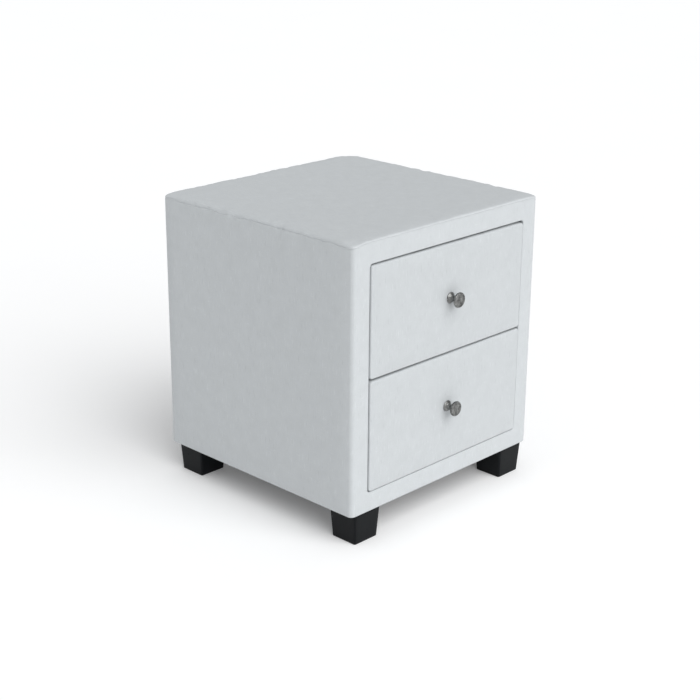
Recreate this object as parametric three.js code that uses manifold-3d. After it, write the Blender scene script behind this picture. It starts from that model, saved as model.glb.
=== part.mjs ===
// A nightstand with two drawers: a board cabinet, padded and covered in pale fabric, on four
// tapered feet. The drawers run on steel roller runners and have padded, covered fronts.
//
// Millimetres. X runs across the front, Y from the drawer fronts to the back, and Z is up.
// The origin is on the floor, under the middle of the whole nightstand, knobs included.

import * as THREE from 'three';
import Module from 'manifold-3d';
import { mergeVertices } from 'three/addons/utils/BufferGeometryUtils.js';

const wasm = await Module();
wasm.setup();

// ---- Driving dimensions ----

const WIDTH = 400; // over the fabric
const BODY_DEPTH = 398; // over the fabric, without the knobs
const HEIGHT = 450;
const FOOT_HEIGHT = 48;
const KNOB_REACH = 21; // from the front frame to the face of the knobs
const GAP = 0.3; // between pieces that touch

const FABRIC = 1.2;
const FOAM = 4;
const BOARD = 15;
const BACK_BOARD = 5;
const CLOTH = 0.8; // the black cloths behind and underneath
const CORNER = 8; // radius of the covered upright corners
const TOP_EDGE = 3.5; // radius of the covered edge round the top
const BACK_TURN = 25; // how far the side fabric is turned onto the back
const UNDER_TURN = 24; // how far the side fabric is turned under the base

const OPENING_HALF = 168.5; // half the width of the opening in the front frame
const OPENING_BOTTOM = 77;
const OPENING_TOP = 417;

const FRONT_HALF = 165.5; // half the width of a drawer front
const FRONT_PROUD = 2; // how far the drawer fronts stand out of the frame
const FRONT_PAD = 7;
const FRONT_BOARD = 12;
const FRONT_CORNER = 4.5;
const FRONT_EDGE = 3.5;
const FRONT_TURN = 16; // how far the fabric is turned onto the back of a drawer front

const BOX_HALF = 153; // half the width of a drawer box
const BOX_BOARD = 12;
const BOX_DEPTH = 340;
const BOX_HEIGHT = 120;
const BOX_FLOOR = 3.9;
const FLOOR_RISE = 10.1; // from the lower edge of the box to the underside of its floor
const GROOVE_DEPTH = 6;

const SHEET_STEEL = 1.2;
const RUNNER_HALF = 166; // half the distance between the backs of the cabinet runners
const RUNNER_LENGTH = 350;
const FLANGE_REACH = 10.5; // the flanges of a cabinet runner, measured from its back
const LIP_REACH = 9; // the lip that a drawer runner rides on
const LEDGE = 12.5; // the flange of a drawer runner under the drawer side
const ROLLER_RADIUS = 9.5;
const ROLLER_WIDTH = 8;
const ROLLER_RISE = 8.8; // from the lower edge of the drawer side to the roller axles
const PIN_RADIUS = 1.5;
const PIN_HEAD_RADIUS = 2.6;
const PIN_HEAD = 0.6;
const TRAVEL = 270;

const KNOB_RADIUS = 11.5;
const SCREW_RADIUS = 2;
const SCREW_HEAD_RADIUS = 4;
const SCREW_HEAD = 2.2;
const SCREW_HOLE_RADIUS = 2.4;

const FOOT_TOP = 52;
const FOOT_BOTTOM = 46;
const FOOT_EDGE = 3;
const FOOT_IN_FROM_SIDE = 10;
const FOOT_IN_FROM_FRONT = 2;
const FOOT_IN_FROM_BACK = 8;

const DRAWERS = {
  upper: { frontBottom: 249.5, frontTop: 414, boxBottom: 266, knobHeight: 333 },
  lower: { frontBottom: 79, frontTop: 246.5, boxBottom: 95, knobHeight: 165 },
};

// ---- Places that follow from them ----

const HALF = WIDTH / 2;
const BACK_Y = (BODY_DEPTH + KNOB_REACH) / 2;
const FRONT_Y = BACK_Y - BODY_DEPTH;
const SKIN = FABRIC + GAP;

const FOAM_OUT = HALF - SKIN;
const SIDE_OUT = FOAM_OUT - FOAM - GAP;
const SIDE_IN = SIDE_OUT - BOARD;
const BASE_Z = FOOT_HEIGHT + SKIN;
const FOAM_TOP = HEIGHT - SKIN;
const CASE_TOP = FOAM_TOP - FOAM - GAP;
const SEAM_Z = HEIGHT - TOP_EDGE; // where the top cover is sewn to the side cover

const FRAME_FRONT = FRONT_Y + SKIN;
const FRAME_BACK = FRAME_FRONT + BOARD;
const CASE_FRONT = FRAME_BACK + GAP;
const BACK_FACE = BACK_Y - SKIN;
const CASE_BACK = BACK_FACE - BACK_BOARD - GAP;

const PAD_FRONT = FRONT_Y - FRONT_PROUD;
const FRONT_BOARD_Y = PAD_FRONT + SKIN + FRONT_PAD + GAP;
const BOX_FRONT_Y = FRONT_BOARD_Y + FRONT_BOARD + GAP + SKIN;
const BOX_BACK_Y = BOX_FRONT_Y + BOX_DEPTH;

const RUNNER_FRONT_Y = BOX_FRONT_Y + 1;
const CABINET_ROLLER_Y = RUNNER_FRONT_Y + 10.5;
const DRAWER_RUNNER_BACK_Y = BOX_BACK_Y - 4;
const DRAWER_ROLLER_Y = DRAWER_RUNNER_BACK_Y - 12;

// ---- Colours and finishes ----

const FINISHES = {
  fabric: { color: 0xd9dcde, roughness: 0.95, metalness: 0 },
  foam: { color: 0xe6dfb8, roughness: 0.9, metalness: 0 },
  board: { color: 0xb59a74, roughness: 0.8, metalness: 0 },
  boxBoard: { color: 0xdedbd5, roughness: 0.6, metalness: 0 },
  blackCloth: { color: 0x1b1c1d, roughness: 0.95, metalness: 0 },
  foot: { color: 0x1d2022, roughness: 0.4, metalness: 0 },
  runner: { color: 0xe9eaea, roughness: 0.45, metalness: 0.2 },
  roller: { color: 0xf2f2ee, roughness: 0.5, metalness: 0 },
  knob: { color: 0xb9b6b0, roughness: 0.25, metalness: 1 },
  screw: { color: 0xa8abad, roughness: 0.35, metalness: 1 },
};

// ---- Making solids ----

/** A block between two limits on each axis. */
function block([x0, x1], [y0, y1], [z0, z1]) {
  const geometry = new THREE.BoxGeometry(x1 - x0, y1 - y0, z1 - z0);
  return geometry.translate((x0 + x1) / 2, (y0 + y1) / 2, (z0 + z1) / 2);
}

/** The same range on the left, side -1, or on the right, side 1. */
function across(side, inner, outer) {
  return side > 0 ? [inner, outer] : [-outer, -inner];
}

/** A rectangle with round corners. */
function roundedRectangle([x0, x1], [y0, y1], radius) {
  const shape = new THREE.Shape();
  shape.absarc(x1 - radius, y1 - radius, radius, 0, Math.PI / 2);
  shape.absarc(x0 + radius, y1 - radius, radius, Math.PI / 2, Math.PI);
  shape.absarc(x0 + radius, y0 + radius, radius, Math.PI, Math.PI * 1.5);
  shape.absarc(x1 - radius, y0 + radius, radius, Math.PI * 1.5, Math.PI * 2);
  shape.closePath();
  return shape;
}

/** A shape in plan, raised from z0 to z1. An edge radius rounds both of its rims. */
function raise(shape, [z0, z1], edge = 0) {
  const geometry = new THREE.ExtrudeGeometry(shape, {
    depth: z1 - z0 - 2 * edge,
    curveSegments: 5,
    bevelEnabled: edge > 0,
    bevelThickness: edge,
    bevelSize: edge,
    bevelOffset: -edge,
    bevelSegments: 3,
  });
  return geometry.translate(0, 0, z0 + edge);
}

/** A shape seen from the front, in X and Z, run from y0 to y1. */
function run(shape, [y0, y1], edge = 0) {
  return raise(shape, [-y1, -y0], edge).rotateX(Math.PI / 2);
}

/** A closed outline through the given corners. */
function outline(points) {
  return new THREE.Shape(points.map(([x, y]) => new THREE.Vector2(x, y)));
}

/** A round solid on an axis along X, starting at x and growing towards the middle or away. */
function turnedAlongX(profile, x, y, z, direction, segments) {
  const points = profile.map(([radius, along]) => new THREE.Vector2(radius, along));
  const geometry = new THREE.LatheGeometry(points, segments);
  return geometry.rotateZ(-direction * Math.PI / 2).translate(x, y, z);
}

/** A round solid on an axis along Y, growing forwards from y. */
function turnedForwards(profile, y, z, segments) {
  const points = profile.map(([radius, along]) => new THREE.Vector2(radius, along));
  const geometry = new THREE.LatheGeometry(points, segments);
  return geometry.rotateX(Math.PI).translate(0, y, z);
}

function toManifold(geometry) {
  const bare = geometry.clone();
  bare.deleteAttribute('normal');
  bare.deleteAttribute('uv');
  const merged = mergeVertices(bare, 1e-4);
  const mesh = new wasm.Mesh({
    numProp: 3,
    vertProperties: new Float32Array(merged.attributes.position.array),
    triVerts: new Uint32Array(merged.index.array),
  });
  return new wasm.Manifold(mesh);
}

function toGeometry(manifold) {
  const mesh = manifold.getMesh();
  const geometry = new THREE.BufferGeometry();
  geometry.setAttribute('position', new THREE.BufferAttribute(mesh.vertProperties, 3));
  geometry.setIndex(new THREE.BufferAttribute(mesh.triVerts, 1));
  return geometry;
}

/** A solid with others taken away from it. */
function cut(geometry, ...others) {
  return toGeometry(others.reduce((solid, other) => solid.subtract(toManifold(other)),
    toManifold(geometry)));
}

/** Several solids joined into one. */
function join(geometry, ...others) {
  return toGeometry(others.reduce((solid, other) => solid.add(toManifold(other)),
    toManifold(geometry)));
}

const nightstand = new THREE.Group();
nightstand.name = 'nightstand';

function piece(name, geometry, finish) {
  const mesh = new THREE.Mesh(geometry, new THREE.MeshStandardMaterial(FINISHES[finish]));
  mesh.name = name;
  nightstand.add(mesh);
}

// ---- Cabinet case ----

/** The outline of the covered body in plan, drawn in from its outside. */
function bodyPlan(inset) {
  return roundedRectangle([-HALF + inset, HALF - inset], [FRONT_Y + inset, BACK_Y - inset],
    CORNER - inset);
}

function addCase() {
  const inside = [CASE_FRONT, CASE_BACK];
  piece('top_panel', block([-SIDE_OUT, SIDE_OUT], inside, [CASE_TOP - BOARD, CASE_TOP]), 'board');
  const sideHeight = [BASE_Z, CASE_TOP - BOARD - GAP];
  piece('left_side_panel', block(across(-1, SIDE_IN, SIDE_OUT), inside, sideHeight), 'board');
  piece('right_side_panel', block(across(1, SIDE_IN, SIDE_OUT), inside, sideHeight), 'board');
  const baseHalf = SIDE_IN - GAP;
  piece('base_panel', block([-baseHalf, baseHalf], inside, [BASE_Z, BASE_Z + BOARD]), 'board');
  const backHalf = HALF - CORNER;
  piece('back_panel', block([-backHalf, backHalf], [CASE_BACK + GAP, BACK_FACE],
    [BASE_Z, CASE_TOP]), 'board');
}

/** A stile of the front frame, rounded to follow the covered corner of the body. */
function stile(side) {
  const inner = side * (OPENING_HALF + SKIN);
  const arcX = HALF - CORNER;
  const arcY = FRONT_Y + CORNER;
  const radius = CORNER - SKIN;
  const reach = Math.acos((SIDE_OUT - arcX) / radius);
  const steps = 4;
  const points = [[inner, FRAME_BACK], [inner, FRAME_FRONT]];
  for (let i = 0; i <= steps; i += 1) {
    const turn = Math.PI / 2 + (reach - Math.PI / 2) * (i / steps);
    points.push([side * (arcX + radius * Math.cos(turn)), arcY - radius * Math.sin(turn)]);
  }
  points.push([side * SIDE_OUT, FRAME_BACK]);
  return raise(outline(points), [BASE_Z, CASE_TOP]);
}

function addFrontFrame() {
  const half = OPENING_HALF + FABRIC;
  const thickness = [FRAME_FRONT, FRAME_BACK];
  piece('left_stile', stile(-1), 'board');
  piece('right_stile', stile(1), 'board');
  piece('top_rail', block([-half, half], thickness, [OPENING_TOP + SKIN, CASE_TOP]), 'board');
  piece('bottom_rail', block([-half, half], thickness, [BASE_Z, OPENING_BOTTOM - SKIN]), 'board');
}

/** The battens fill the step between the side panels and the opening, and hold the runners. */
function addBattens() {
  for (const [level, { boxBottom }] of Object.entries(DRAWERS)) {
    for (const [name, side] of [['left', -1], ['right', 1]]) {
      const place = across(side, RUNNER_HALF + GAP, SIDE_IN - GAP);
      const height = [boxBottom - 12, boxBottom + 28];
      piece(`${level}_${name}_batten`, block(place, [CASE_FRONT, CASE_BACK], height), 'board');
    }
  }
}

// ---- Padding and covers of the cabinet ----

/** The foam on one side of the cabinet, rounded at both ends to follow the covered corners. */
function sideFoam(side) {
  const arcX = HALF - CORNER;
  const radius = CORNER - SKIN;
  const inner = SIDE_OUT + GAP;
  const reach = Math.acos((inner - arcX) / radius);
  const steps = 3;
  const points = [];
  for (let i = 0; i <= steps; i += 1) {
    const turn = reach * (1 - i / steps);
    points.push([arcX + radius * Math.cos(turn), FRONT_Y + CORNER - radius * Math.sin(turn)]);
  }
  for (let i = 0; i <= steps; i += 1) {
    const turn = reach * (i / steps);
    points.push([arcX + radius * Math.cos(turn), BACK_Y - CORNER + radius * Math.sin(turn)]);
  }
  const mirrored = points.map(([x, y]) => [side * x, y]);
  return raise(outline(mirrored), [BASE_Z, CASE_TOP]);
}

function addFoam() {
  piece('left_foam', sideFoam(-1), 'foam');
  piece('right_foam', sideFoam(1), 'foam');
  const below = block([-HALF, HALF], [FRONT_Y, BACK_Y], [CASE_TOP - 20, CASE_TOP + GAP]);
  const slab = raise(bodyPlan(SKIN), [CASE_TOP - 10, FOAM_TOP], TOP_EDGE - SKIN);
  piece('top_foam', cut(slab, below), 'foam');
}

/** The top cover is a shallow lid of fabric, down to the seam round the top edge. */
function topCover() {
  const outside = raise(bodyPlan(0), [SEAM_Z - 12, HEIGHT], TOP_EDGE);
  const inside = raise(bodyPlan(FABRIC), [SEAM_Z - 12, HEIGHT - FABRIC], TOP_EDGE - FABRIC);
  const below = block([-WIDTH, WIDTH], [-WIDTH, WIDTH], [SEAM_Z - 20, SEAM_Z]);
  return cut(outside, inside, below);
}

/**
 * The body cover is one band of fabric: left side, front frame and right side. It is turned into
 * the opening, onto the back and under the base.
 */
function bodyCover() {
  const top = SEAM_Z - GAP;
  const shell = cut(
    raise(bodyPlan(0), [FOOT_HEIGHT, top]),
    raise(bodyPlan(FABRIC), [FOOT_HEIGHT + FABRIC, top + 5]),
  );
  const turnedIn = block([-OPENING_HALF - FABRIC, OPENING_HALF + FABRIC],
    [FRONT_Y + FABRIC / 2, FRAME_BACK], [OPENING_BOTTOM - FABRIC, OPENING_TOP + FABRIC]);
  const opening = block([-OPENING_HALF, OPENING_HALF], [FRONT_Y - 1, FRAME_BACK + 1],
    [OPENING_BOTTOM, OPENING_TOP]);
  const backHalf = HALF - BACK_TURN;
  const behind = block([-backHalf, backHalf], [BACK_Y - 20, BACK_Y + 1],
    [FOOT_HEIGHT - 1, top + 1]);
  const underHalf = HALF - UNDER_TURN;
  const under = block([-underHalf, underHalf], [FRONT_Y + UNDER_TURN, BACK_Y + 1],
    [FOOT_HEIGHT - 1, FOOT_HEIGHT + 3]);
  return cut(join(shell, turnedIn), opening, behind, under);
}

function addCovers() {
  piece('top_cover', topCover(), 'fabric');
  piece('body_cover', bodyCover(), 'fabric');
  const backHalf = HALF - BACK_TURN - GAP;
  piece('back_cloth', block([-backHalf, backHalf], [BACK_FACE + GAP, BACK_FACE + GAP + CLOTH],
    [BASE_Z + 3, CASE_TOP - 3]), 'blackCloth');
  const underHalf = HALF - UNDER_TURN - GAP;
  piece('base_cloth', block([-underHalf, underHalf], [FRONT_Y + UNDER_TURN + GAP, CASE_BACK],
    [BASE_Z - GAP - CLOTH, BASE_Z - GAP]), 'blackCloth');
}

// ---- Feet ----

/** A square foot with rounded edges, narrower at the floor than under the cabinet. */
function foot() {
  const half = FOOT_TOP / 2;
  const top = FOOT_HEIGHT - GAP;
  const geometry = raise(roundedRectangle([-half, half], [-half, half], FOOT_EDGE), [0, top]);
  const places = geometry.attributes.position;
  for (let i = 0; i < places.count; i += 1) {
    const share = places.getZ(i) / top;
    const scale = (FOOT_BOTTOM + (FOOT_TOP - FOOT_BOTTOM) * share) / FOOT_TOP;
    places.setX(i, places.getX(i) * scale);
    places.setY(i, places.getY(i) * scale);
  }
  return geometry;
}

function addFeet() {
  const x = HALF - FOOT_IN_FROM_SIDE - FOOT_TOP / 2;
  const frontY = FRONT_Y + FOOT_IN_FROM_FRONT + FOOT_TOP / 2;
  const backY = BACK_Y - FOOT_IN_FROM_BACK - FOOT_TOP / 2;
  piece('front_left_foot', foot().translate(-x, frontY, 0), 'foot');
  piece('front_right_foot', foot().translate(x, frontY, 0), 'foot');
  piece('back_left_foot', foot().translate(-x, backY, 0), 'foot');
  piece('back_right_foot', foot().translate(x, backY, 0), 'foot');
}

// ---- Runners and rollers ----

/** A pin with a small head, which holds a roller. It starts inside its runner's steel. */
function pin(x, y, z, direction) {
  const length = FLANGE_REACH + 0.1;
  const profile = [[0, 0], [PIN_RADIUS, 0], [PIN_RADIUS, length - PIN_HEAD],
    [PIN_HEAD_RADIUS, length - PIN_HEAD], [PIN_HEAD_RADIUS, length], [0, length]];
  return turnedAlongX(profile, x, y, z, direction, 12);
}

/** A channel with a roller pin at its front, a stop that ends the travel, and one at the back. */
function cabinetRunner(side, boxBottom) {
  const axle = boxBottom + ROLLER_RISE;
  const back = RUNNER_HALF;
  const web = back - SHEET_STEEL;
  const edge = back - FLANGE_REACH;
  const floor = axle - ROLLER_RADIUS - GAP;
  const lipTop = axle + ROLLER_RADIUS + GAP + SHEET_STEEL;
  const roof = lipTop + GAP;
  const section = outline([
    [back, floor - SHEET_STEEL], [edge, floor - SHEET_STEEL], [edge, floor], [web, floor],
    [web, roof], [edge, roof], [edge, roof + SHEET_STEEL], [back, roof + SHEET_STEEL],
  ].map(([x, z]) => [side * x, z]));
  const channel = run(section, [RUNNER_FRONT_Y, RUNNER_FRONT_Y + RUNNER_LENGTH]);
  const stopHeight = 2.5;
  const stopReach = Math.sqrt(ROLLER_RADIUS ** 2 - (ROLLER_RADIUS - stopHeight) ** 2) + 0.6;
  const stopBack = DRAWER_ROLLER_Y - TRAVEL - stopReach;
  const frontStop = block(across(side, edge + 1, web + 0.5), [stopBack - 6, stopBack],
    [floor - 0.5, floor + stopHeight - GAP]);
  const endStart = DRAWER_ROLLER_Y + ROLLER_RADIUS + 1;
  const endStop = block(across(side, edge + 1, web + 0.5), [endStart, endStart + SHEET_STEEL],
    [floor - 0.5, lipTop - SHEET_STEEL - 2 * GAP]);
  const inner = side * (back - 0.6);
  return join(channel, frontStop, endStop, pin(inner, CABINET_ROLLER_Y, axle, -side));
}

/** An angle under the drawer side, with a lip that rides on the cabinet's roller. */
function drawerRunner(side, boxBottom) {
  const axle = boxBottom + ROLLER_RISE;
  const inner = BOX_HALF + GAP;
  const outer = inner + SHEET_STEEL;
  const ledge = outer - LEDGE;
  const lip = axle + ROLLER_RADIUS + GAP;
  const section = outline([
    [ledge, boxBottom - GAP - SHEET_STEEL], [outer, boxBottom - GAP - SHEET_STEEL], [outer, lip],
    [outer + LIP_REACH, lip], [outer + LIP_REACH, lip + SHEET_STEEL], [inner, lip + SHEET_STEEL],
    [inner, boxBottom - GAP], [ledge, boxBottom - GAP],
  ].map(([x, z]) => [side * x, z]));
  const angle = run(section, [BOX_FRONT_Y + 1.4, DRAWER_RUNNER_BACK_Y]);
  return join(angle, pin(side * (inner + 0.6), DRAWER_ROLLER_Y, axle, side));
}

/** A nylon roller with softened rims. */
function roller(side, centre, y, axle) {
  const half = ROLLER_WIDTH / 2;
  const bore = PIN_RADIUS + GAP;
  const profile = [[bore, -half], [ROLLER_RADIUS - 0.5, -half], [ROLLER_RADIUS, -half + 0.5],
    [ROLLER_RADIUS, half - 0.5], [ROLLER_RADIUS - 0.5, half], [bore, half], [bore, -half]];
  return turnedAlongX(profile, side * centre, y, axle, 1, 24);
}

function addRunners(level, boxBottom) {
  const axle = boxBottom + ROLLER_RISE;
  const cabinetCentre = RUNNER_HALF - FLANGE_REACH + GAP + ROLLER_WIDTH / 2;
  const drawerCentre = BOX_HALF + SHEET_STEEL + 3 * GAP + ROLLER_WIDTH / 2;
  for (const [name, side] of [['left', -1], ['right', 1]]) {
    piece(`${level}_${name}_cabinet_runner`, cabinetRunner(side, boxBottom), 'runner');
    piece(`${level}_${name}_drawer_runner`, drawerRunner(side, boxBottom), 'runner');
    piece(`${level}_${name}_cabinet_roller`,
      roller(side, cabinetCentre, CABINET_ROLLER_Y, axle), 'roller');
    piece(`${level}_${name}_drawer_roller`,
      roller(side, drawerCentre, DRAWER_ROLLER_Y, axle), 'roller');
  }
}

// ---- Drawers ----

/** The face of a drawer front, drawn in from the outside of its fabric. */
function frontFace({ frontBottom, frontTop }, inset) {
  return roundedRectangle([-FRONT_HALF + inset, FRONT_HALF - inset],
    [frontBottom + inset, frontTop - inset], FRONT_CORNER - inset);
}

/** The hole for the knob's screw, from one Y to another. */
function screwHole(knobHeight, [y0, y1], radius) {
  const length = y1 - y0;
  return turnedForwards([[0, 0], [radius, 0], [radius, length], [0, length]], y1, knobHeight, 12);
}

function addDrawerFront(level, drawer) {
  const spare = 10; // the rounded slabs are made too deep and cut off square at the back
  const hole = screwHole(drawer.knobHeight, [PAD_FRONT - 5, BOX_FRONT_Y + 20], SCREW_HOLE_RADIUS);
  const coverBack = BOX_FRONT_Y - GAP;
  const cutAt = (y) => block([-WIDTH, WIDTH], [y, y + 40], [0, HEIGHT]);

  const boardBack = FRONT_BOARD_Y + FRONT_BOARD;
  const board = run(frontFace(drawer, SKIN), [FRONT_BOARD_Y, boardBack]);
  piece(`${level}_front_board`, cut(board, hole), 'board');

  const padBack = FRONT_BOARD_Y - GAP;
  const pad = run(frontFace(drawer, SKIN), [PAD_FRONT + SKIN, padBack + spare],
    FRONT_EDGE - SKIN);
  piece(`${level}_front_foam`, cut(pad, cutAt(padBack), hole), 'foam');

  const outside = run(frontFace(drawer, 0), [PAD_FRONT, coverBack + spare], FRONT_EDGE);
  const insideBack = coverBack - FABRIC;
  const inside = cut(
    run(frontFace(drawer, FABRIC), [PAD_FRONT + FABRIC, coverBack + spare], FRONT_EDGE - FABRIC),
    cutAt(insideBack),
  );
  const windowHalf = FRONT_HALF - FRONT_TURN;
  const window = block([-windowHalf, windowHalf], [insideBack - 2, coverBack + 2],
    [drawer.frontBottom + FRONT_TURN, drawer.frontTop - FRONT_TURN]);
  const cover = cut(outside, cutAt(coverBack), inside, window, hole);
  piece(`${level}_front_cover`, cover, 'fabric');
}

function addDrawerBox(level, drawer) {
  const { boxBottom, knobHeight } = drawer;
  const inner = BOX_HALF - BOX_BOARD;
  const height = [boxBottom, boxBottom + BOX_HEIGHT];
  const floor = boxBottom + FLOOR_RISE;
  const grooveHeight = [floor - GAP, floor + BOX_FLOOR + GAP];
  const grooveHalf = inner + GROOVE_DEPTH;
  const frontBack = BOX_FRONT_Y + BOX_BOARD;
  const between = [-inner + GAP, inner - GAP];
  for (const [name, side] of [['left', -1], ['right', 1]]) {
    const board = block(across(side, inner, BOX_HALF), [BOX_FRONT_Y, BOX_BACK_Y], height);
    const groove = block(across(side, inner - 1, grooveHalf),
      [frontBack - GROOVE_DEPTH, BOX_BACK_Y + 1], grooveHeight);
    piece(`${level}_${name}_side`, cut(board, groove), 'boxBoard');
  }
  const front = cut(
    block(between, [BOX_FRONT_Y, frontBack], height),
    block([-inner - 1, inner + 1], [frontBack - GROOVE_DEPTH, frontBack + 1], grooveHeight),
    screwHole(knobHeight, [BOX_FRONT_Y - 1, frontBack + 1], SCREW_HOLE_RADIUS),
  );
  piece(`${level}_box_front`, front, 'boxBoard');
  piece(`${level}_box_back`, block(between, [BOX_BACK_Y - BOX_BOARD, BOX_BACK_Y],
    [grooveHeight[1], height[1]]), 'boxBoard');
  const floorHalf = grooveHalf - GAP;
  piece(`${level}_box_floor`, block([-floorHalf, floorHalf],
    [frontBack - GROOVE_DEPTH + GAP, BOX_BACK_Y], [floor, floor + BOX_FLOOR]), 'boxBoard');
}

/** A cast knob: a round foot, a narrow waist and a wider disc with a shallow dish in its face. */
function knob(knobHeight) {
  const reach = KNOB_REACH - FRONT_PROUD - GAP;
  const rim = KNOB_RADIUS;
  const profile = [[0, 0], [9, 0], [9.3, 0.8], [7.2, 2.6], [5.4, 4.8], [4.7, 8], [5.6, 11.4],
    [8.6, 14], [rim - 0.5, 15.6], [rim, 16.8], [rim, reach - 1.4], [rim - 1, reach],
    [rim - 3, reach - 0.8], [0, reach - 1.6]];
  const body = turnedForwards(profile, PAD_FRONT - GAP, knobHeight, 24);
  const hole = screwHole(knobHeight, [PAD_FRONT - GAP - 10, PAD_FRONT + 1], SCREW_HOLE_RADIUS);
  return cut(body, hole);
}

/** The knob's screw goes through the drawer box, the front board and the padding. */
function knobScrew(knobHeight) {
  const seat = BOX_FRONT_Y + BOX_BOARD + GAP;
  const length = seat - PAD_FRONT + 9;
  const profile = [[0, -SCREW_HEAD], [SCREW_HEAD_RADIUS * 0.6, -SCREW_HEAD],
    [SCREW_HEAD_RADIUS, -SCREW_HEAD * 0.4], [SCREW_HEAD_RADIUS, 0], [SCREW_RADIUS, 0],
    [SCREW_RADIUS, length - 0.8], [SCREW_RADIUS - 0.8, length], [0, length]];
  return turnedForwards(profile, seat, knobHeight, 12);
}

// ---- The whole nightstand ----

addCase();
addFrontFrame();
addBattens();
addFoam();
addCovers();
addFeet();
for (const [level, drawer] of Object.entries(DRAWERS)) {
  addRunners(level, drawer.boxBottom);
  addDrawerFront(level, drawer);
  addDrawerBox(level, drawer);
  piece(`${level}_knob`, knob(drawer.knobHeight), 'knob');
  piece(`${level}_knob_screw`, knobScrew(drawer.knobHeight), 'screw');
}

export default nightstand;
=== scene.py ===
"""A nightstand with two drawers, upholstered in pale grey linen-look fabric.

The board case, the drawer boxes and the steel runners come from model.glb. The foam, the covers, the
black cloths, the feet, the rollers and the knobs are made here around them.
"""
import math

import bpy
import numpy as np
from mathutils import Euler, Matrix, Vector


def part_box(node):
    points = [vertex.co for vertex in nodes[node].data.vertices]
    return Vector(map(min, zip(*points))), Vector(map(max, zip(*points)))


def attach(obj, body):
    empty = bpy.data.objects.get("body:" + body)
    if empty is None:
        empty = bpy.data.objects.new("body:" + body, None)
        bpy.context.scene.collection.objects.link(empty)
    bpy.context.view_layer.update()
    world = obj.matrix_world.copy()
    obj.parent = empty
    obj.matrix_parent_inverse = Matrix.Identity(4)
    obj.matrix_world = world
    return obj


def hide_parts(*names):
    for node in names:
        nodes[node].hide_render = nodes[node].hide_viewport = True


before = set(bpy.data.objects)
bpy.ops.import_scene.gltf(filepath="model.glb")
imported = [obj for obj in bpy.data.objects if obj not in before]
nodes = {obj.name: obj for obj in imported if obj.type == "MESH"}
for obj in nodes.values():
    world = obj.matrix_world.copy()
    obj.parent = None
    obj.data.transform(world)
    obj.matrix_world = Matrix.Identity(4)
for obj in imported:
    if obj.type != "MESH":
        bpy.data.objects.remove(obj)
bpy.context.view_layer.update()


# ---- Studio ----
# A white floor, an even white sky and one wide soft light in front, above and a little left.
# The camera looks down over the left front corner.

class Value:
    """A number at a socket of a finish. Arithmetic on it adds Math nodes."""

    def __init__(self, finish, socket):
        self.finish, self.socket = finish, socket

    def __add__(self, other):
        return self.finish.math("ADD", self, other)

    def __sub__(self, other):
        return self.finish.math("SUBTRACT", self, other)

    def __rsub__(self, other):
        return self.finish.math("SUBTRACT", other, self)

    def __mul__(self, other):
        return self.finish.math("MULTIPLY", self, other)

    __radd__, __rmul__ = __add__, __mul__


class Finish:
    """A procedural material: one Principled shader and the nodes that feed it."""

    def __init__(self, name, roughness=0.5, metallic=0.0, **uniform):
        self.material = bpy.data.materials.new(name)
        self.material.use_nodes = True
        self.tree = self.material.node_tree
        self.tree.nodes.clear()
        self.shader = self.tree.nodes.new("ShaderNodeBsdfPrincipled")
        output = self.tree.nodes.new("ShaderNodeOutputMaterial")
        self.tree.links.new(self.shader.outputs[0], output.inputs["Surface"])
        self.set("Roughness", roughness)
        self.set("Metallic", metallic)
        for socket, value in uniform.items():
            self.set(socket.replace("_", " "), value)

    def plug(self, socket, value):
        """Links a Value to a socket, or sets the socket to a plain number or colour."""
        if isinstance(value, Value):
            self.tree.links.new(value.socket, socket)
        elif hasattr(value, "__len__") and len(value) == 3 and len(socket.default_value) == 4:
            socket.default_value = (*value, 1)
        else:
            socket.default_value = value

    def set(self, socket, value):
        self.plug(self.shader.inputs[socket], value)

    def node(self, kind, settings=None, sockets=None, out=0):
        """Any node: its settings are set first, then its sockets, by name or by number."""
        made = self.tree.nodes.new("ShaderNode" + kind)
        for key, value in (settings or {}).items():
            setattr(made, key, value)
        for key, value in (sockets or {}).items():
            self.plug(made.inputs[key], value)
        return Value(self, made.outputs[out])

    def math(self, operation, *terms):
        return self.node("Math", {"operation": operation}, dict(enumerate(terms)))

    def place(self, *scale):
        """Object coordinates, in metres, times one scale or one along each axis."""
        return self.scaled(self.node("TexCoord", out="Object"), *scale)

    def scaled(self, where, *scale):
        scale = scale if len(scale) == 3 else scale * 3
        return self.node("VectorMath", {"operation": "MULTIPLY"}, {0: where, 1: scale})

    def noise(self, where, detail=2.0, roughness=0.5, distortion=0.0):
        """Smooth noise from 0 to 1, whose lumps are about one unit of `where` across."""
        return self.node("TexNoise", None, {"Vector": where, "Scale": 1.0, "Detail": detail,
                                            "Roughness": roughness, "Distortion": distortion})

    def grain(self, *scale, **kind):
        """Noise on the piece's own place, times one scale or one along each axis."""
        return self.noise(self.place(*scale), **kind)

    def step(self, value, low, high):
        """0 below `low`, 1 above `high`, and an even rise between them."""
        return self.node("MapRange", {"interpolation_type": "SMOOTHSTEP"},
                         {"Value": value, "From Min": low, "From Max": high})

    def colour(self, share, first, second):
        """The base colour goes from the first to the second as the share goes from 0 to 1."""
        self.set("Base Color", self.node("Mix", {"data_type": "RGBA"},
                                         {0: share, 6: first, 7: second}, out=2))

    def bump(self, height, distance):
        """Raises the surface by the height, from 0 to 1, times a distance in metres."""
        self.set("Normal", self.node("Bump", None, {"Height": height, "Distance": distance,
                                                    "Strength": 1.0}))


def paint(finish, *names):
    """Gives CAD nodes a finish in place of their plain one."""
    for name in names:
        nodes[name].data.materials.clear()
        nodes[name].data.materials.append(finish.material)


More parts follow.
